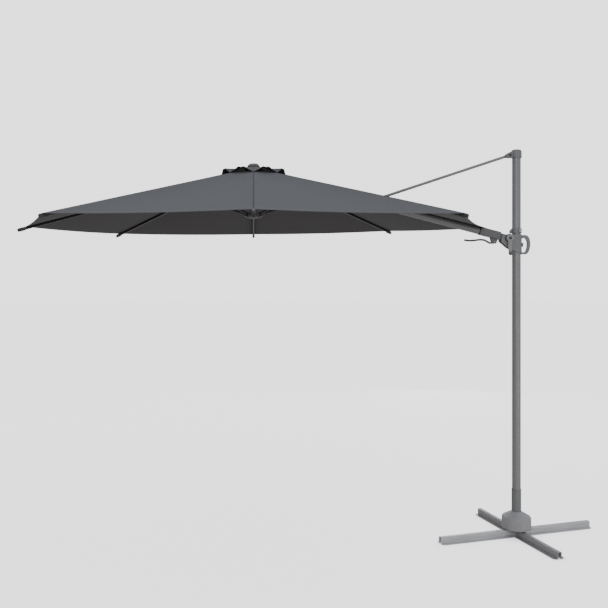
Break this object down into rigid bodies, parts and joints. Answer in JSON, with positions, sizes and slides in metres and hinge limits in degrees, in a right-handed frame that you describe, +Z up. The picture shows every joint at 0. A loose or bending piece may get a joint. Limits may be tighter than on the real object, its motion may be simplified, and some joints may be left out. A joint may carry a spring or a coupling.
{
  "type": "cantilever parasol",
  "caption": "Free-standing side-mast parasol with a crank, a sliding arm, a tilting octagonal canopy and a crossed steel base.",
  "frame": {"origin": "on the mast's axis, at floor level, under the centre of the base cross", "axes": "+Z up along the mast; the arm and canopy reach towards -X; +X is behind the mast, where the handle is"},
  "size_m": [3.7061, 3.0086, 2.456],
  "materials": {
    "beam_steel": "satin powder coat, light anthracite",
    "frame_steel": "satin powder coat, anthracite",
    "arm_aluminium": "satin powder coat, anthracite",
    "rib_aluminium": "satin black powder coat",
    "grey_plastic": "fine moulded grain, anthracite",
    "dark_plastic": "fine moulded grain, near black",
    "bright_steel": "zinc plated",
    "canopy_fabric": "plain weave polyester, anthracite"
  },
  "bodies": {
    "base": {"cross_beam_long": "beam_steel", "cross_beam_front": "beam_steel", "cross_beam_rear": "beam_steel", "cross_tie_plate": "bright_steel", "mast_foot": "frame_steel", "foot_bolt_1": "bright_steel", "foot_bolt_2": "bright_steel", "foot_bolt_3": "bright_steel", "foot_bolt_4": "bright_steel", "base_cover": "grey_plastic", "foot_bush": "dark_plastic"},
    "mast": {"mast_tube": "frame_steel", "mast_top_cap": "dark_plastic", "stop_collar": "arm_aluminium", "collar_bolt": "bright_steel"},
    "slider": {"slider_housing": "arm_aluminium", "slider_liner": "dark_plastic", "arm_pivot_pin": "bright_steel"},
    "crank": {"crank_arm": "arm_aluminium", "crank_spindle": "bright_steel"},
    "knob": {"crank_knob": "dark_plastic"},
    "button": {"release_button": "dark_plastic"},
    "bracket": {"arm_bracket": "arm_aluminium", "arm_bush": "dark_plastic", "swivel_collar": "arm_aluminium", "trigger_pin": "bright_steel"},
    "trigger": {"tilt_trigger": "dark_plastic"},
    "arm": {"arm_tube": "arm_aluminium", "arm_end_ring": "dark_plastic", "arm_spindle": "arm_aluminium", "arm_tip": "dark_plastic", "stretcher_saddle": "dark_plastic"},
    "arm_stretcher": {"arm_stretcher": "rib_aluminium"},
    "strut": {"strut_tube": "arm_aluminium", "strut_lower_fork": "dark_plastic", "strut_upper_eye": "dark_plastic"},
    "crown": {"crown_hub": "dark_plastic", "finial": "dark_plastic", "canopy": "canopy_fabric", "vent_flap": "canopy_fabric"},
    "runner": {"runner_hub": "dark_plastic"},
    "rib_1": {"rib_1": "rib_aluminium"},
    "stretcher_1": {"stretcher_1": "rib_aluminium"},
    "rib_2": {"rib_2": "rib_aluminium"},
    "stretcher_2": {"stretcher_2": "rib_aluminium"},
    "rib_3": {"rib_3": "rib_aluminium"},
    "stretcher_3": {"stretcher_3": "rib_aluminium"},
    "rib_4": {"rib_4": "rib_aluminium"},
    "stretcher_4": {"stretcher_4": "rib_aluminium"},
    "rib_5": {"rib_5": "rib_aluminium"},
    "stretcher_5": {"stretcher_5": "rib_aluminium"},
    "rib_6": {"rib_6": "rib_aluminium"},
    "stretcher_6": {"stretcher_6": "rib_aluminium"},
    "rib_7": {"rib_7": "rib_aluminium"},
    "stretcher_7": {"stretcher_7": "rib_aluminium"}
  },
  "joints": [
    {"name": "mast_spin", "type": "hinge", "parent": "base", "child": "mast", "pos_m": [0, 0, 0.058], "axis": [0, 0, 1], "continuous": true},
    {"name": "slider_slide", "type": "slide", "parent": "mast", "child": "slider", "axis": [0, 0, -1], "range_m": [0, 1.05]},
    {"name": "arm_raise", "type": "hinge", "parent": "slider", "child": "bracket", "pos_m": [-0.054, 0, 1.891], "axis": [0, 1, 0], "range_deg": [-0.5, 49.93]},
    {"name": "strut_swing", "type": "hinge", "parent": "bracket", "child": "strut", "pos_m": [-0.86617, 0, 2.14752], "axis": [0, 1, 0], "range_deg": [-98.32, 0.5]},
    {"name": "canopy_tilt", "type": "hinge", "parent": "bracket", "child": "arm", "pos_m": [-0.054, 0, 1.891], "axis": [-0.9681, 0, 0.2504], "range_deg": [-20, 20]},
    {"name": "crown_swing", "type": "hinge", "parent": "arm", "child": "crown", "pos_m": [-1.62, 0, 2.315], "axis": [0, 1, 0], "range_deg": [-72.5, 0.5]},
    {"name": "canopy_fold", "type": "slide", "parent": "crown", "child": "runner", "axis": [0, 0, -1], "range_m": [0, 0.80159], "deforming": ["canopy", "vent_flap"]},
    {"name": "rib_1_fold", "type": "hinge", "parent": "crown", "child": "rib_1", "pos_m": [-1.63611, 0.03889, 2.315], "axis": [-0.7071, 0.7071, 0], "range_deg": [-0.5, 72.5]},
    {"name": "stretcher_1_fold", "type": "hinge", "parent": "rib_1", "child": "stretcher_1", "pos_m": [-1.26757, 0.40743, 2.18987], "axis": [-0.7071, 0.7071, 0], "range_deg": [-144.5, 0.5]},
    {"name": "rib_2_fold", "type": "hinge", "parent": "crown", "child": "rib_2", "pos_m": [-1.675, 0.055, 2.315], "axis": [-1, 0, 0], "range_deg": [-0.5, 72.5]},
    {"name": "stretcher_2_fold", "type": "hinge", "parent": "rib_2", "child": "stretcher_2", "pos_m": [-1.675, 0.57496, 2.18488], "axis": [-1, 0, 0], "range_deg": [-144.5, 0.5]},
    {"name": "rib_3_fold", "type": "hinge", "parent": "crown", "child": "rib_3", "pos_m": [-1.71389, 0.03889, 2.315], "axis": [-0.7071, -0.7071, 0], "range_deg": [-0.5, 72.5]},
    {"name": "stretcher_3_fold", "type": "hinge", "parent": "rib_3", "child": "stretcher_3", "pos_m": [-2.08083, 0.40583, 2.1808], "axis": [-0.7071, -0.7071, 0], "range_deg": [-144.5, 0.5]},
    {"name": "rib_4_fold", "type": "hinge", "parent": "crown", "child": "rib_4", "pos_m": [-1.73, 0, 2.315], "axis": [0, -1, 0], "range_deg": [-0.5, 72.5]},
    {"name": "stretcher_4_fold", "type": "hinge", "parent": "rib_4", "child": "stretcher_4", "pos_m": [-2.24893, 0, 2.1808], "axis": [0, -1, 0], "range_deg": [-144.5, 0.5]},
    {"name": "rib_5_fold", "type": "hinge", "parent": "crown", "child": "rib_5", "pos_m": [-1.71389, -0.03889, 2.315], "axis": [0.7071, -0.7071, 0], "range_deg": [-0.5, 72.5]},
    {"name": "stretcher_5_fold", "type": "hinge", "parent": "rib_5", "child": "stretcher_5", "pos_m": [-2.08243, -0.40743, 2.18987], "axis": [0.7071, -0.7071, 0], "range_deg": [-144.5, 0.5]},
    {"name": "rib_6_fold", "type": "hinge", "parent": "crown", "child": "rib_6", "pos_m": [-1.675, -0.055, 2.315], "axis": [1, 0, 0], "range_deg": [-0.5, 72.5]},
    {"name": "stretcher_6_fold", "type": "hinge", "parent": "rib_6", "child": "stretcher_6", "pos_m": [-1.675, -0.57496, 2.18488], "axis": [1, 0, 0], "range_deg": [-144.5, 0.5]},
    {"name": "rib_7_fold", "type": "hinge", "parent": "crown", "child": "rib_7", "pos_m": [-1.63611, -0.03889, 2.315], "axis": [0.7071, 0.7071, 0], "range_deg": [-0.5, 72.5]},
    {"name": "stretcher_7_fold", "type": "hinge", "parent": "rib_7", "child": "stretcher_7", "pos_m": [-1.26757, -0.40743, 2.18987], "axis": [0.7071, 0.7071, 0], "range_deg": [-144.5, 0.5]},
    {"name": "arm_stretcher_fold", "type": "hinge", "parent": "arm", "child": "arm_stretcher", "pos_m": [-1.10107, 0, 2.1808], "axis": [0, 1, 0], "range_deg": [-144.5, 0.5]},
    {"name": "crank_turn", "type": "hinge", "parent": "slider", "child": "crank", "pos_m": [-0.054, 0, 1.891], "axis": [0, -1, 0], "range_deg": [-1, 1801]},
    {"name": "knob_spin", "type": "hinge", "parent": "crank", "child": "knob", "pos_m": [-0.054, 0, 1.793], "axis": [0, 1, 0], "continuous": true},
    {"name": "button_press", "type": "slide", "parent": "slider", "child": "button", "axis": [-1, 0, 0], "range_m": [0, 0.004], "stiffness_N_per_m": 400},
    {"name": "trigger_squeeze", "type": "hinge", "parent": "bracket", "child": "trigger", "pos_m": [-0.14272, 0, 1.86746], "axis": [0, 1, 0], "range_deg": [0, 10], "stiffness_Nm_per_rad": 1.5}
  ],
  "couplings": [
    {"joint": "arm_raise", "follows": "slider_slide", "rad_per_m": 0.82163},
    {"joint": "strut_swing", "follows": "slider_slide", "rad_per_m": -1.6259},
    {"joint": "crown_swing", "follows": "canopy_fold", "rad_per_m": -1.5677},
    {"joint": "rib_1_fold", "follows": "canopy_fold", "rad_per_m": 1.5677},
    {"joint": "stretcher_1_fold", "follows": "canopy_fold", "rad_per_m": -3.1353},
    {"joint": "rib_2_fold", "follows": "canopy_fold", "rad_per_m": 1.5677},
    {"joint": "stretcher_2_fold", "follows": "canopy_fold", "rad_per_m": -3.1353},
    {"joint": "rib_3_fold", "follows": "canopy_fold", "rad_per_m": 1.5677},
    {"joint": "stretcher_3_fold", "follows": "canopy_fold", "rad_per_m": -3.1353},
    {"joint": "rib_4_fold", "follows": "canopy_fold", "rad_per_m": 1.5677},
    {"joint": "stretcher_4_fold", "follows": "canopy_fold", "rad_per_m": -3.1353},
    {"joint": "rib_5_fold", "follows": "canopy_fold", "rad_per_m": 1.5677},
    {"joint": "stretcher_5_fold", "follows": "canopy_fold", "rad_per_m": -3.1353},
    {"joint": "rib_6_fold", "follows": "canopy_fold", "rad_per_m": 1.5677},
    {"joint": "stretcher_6_fold", "follows": "canopy_fold", "rad_per_m": -3.1353},
    {"joint": "rib_7_fold", "follows": "canopy_fold", "rad_per_m": 1.5677},
    {"joint": "stretcher_7_fold", "follows": "canopy_fold", "rad_per_m": -3.1353},
    {"joint": "arm_stretcher_fold", "follows": "canopy_fold", "rad_per_m": -3.1353},
    {"joint": "crank_turn", "follows": "canopy_fold", "rad_per_m": 39.192}
  ]
}
